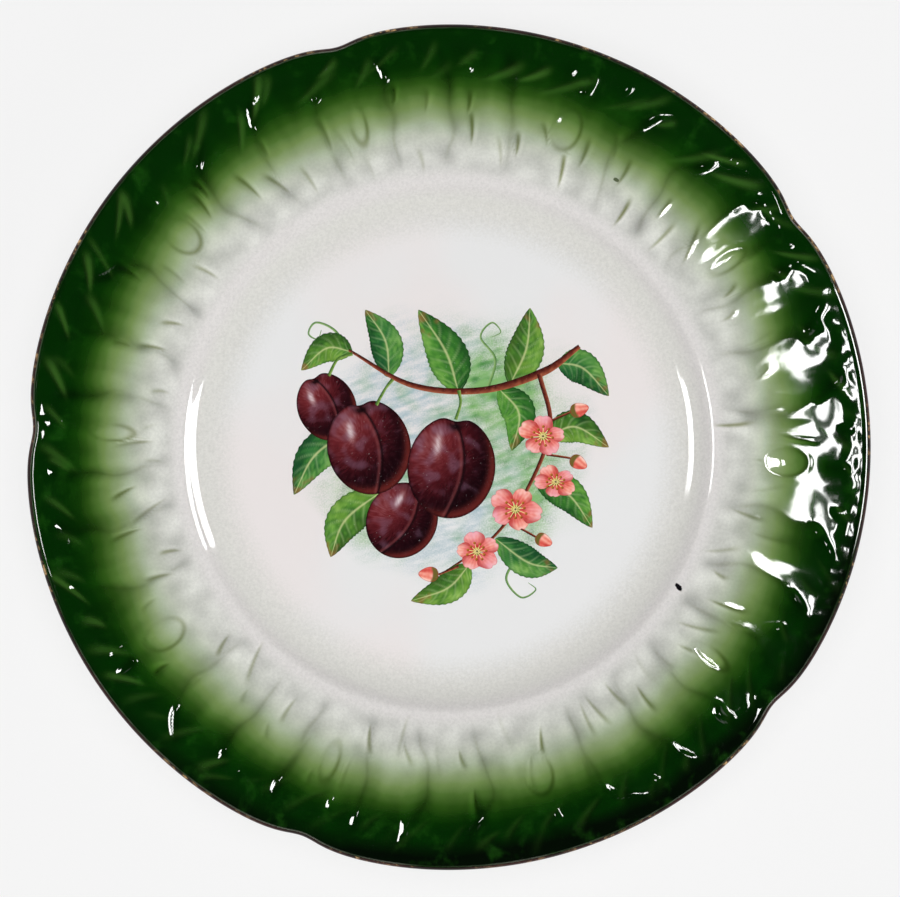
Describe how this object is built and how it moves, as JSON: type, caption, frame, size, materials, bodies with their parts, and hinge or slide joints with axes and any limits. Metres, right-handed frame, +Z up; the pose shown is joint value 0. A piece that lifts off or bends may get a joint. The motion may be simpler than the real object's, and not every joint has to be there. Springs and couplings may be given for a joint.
{
  "type": "lunch plate",
  "caption": "Round glazed earthenware lunch plate with a flat printed well, a raised shoulder, a broad embossed rim with a shallow notched edge, a gilt edge line and a low foot ring.",
  "frame": {"origin": "centre of the plane that the foot ring stands on", "axes": "+Z up out of the well, +Y towards the top of the print, +X to its right"},
  "size_m": [0.2281, 0.2288, 0.0228],
  "materials": {
    "glaze": "clear gloss glaze over white earthenware, green shading sprayed on the rim",
    "print": "many-coloured print fired on the glaze, gloss",
    "gilding": "thin gold line over brown, worn"
  },
  "bodies": {
    "root": {"plate_body": "glaze", "centre_print": "print", "gilt_edge_line": "gilding"}
  },
  "joints": []
}
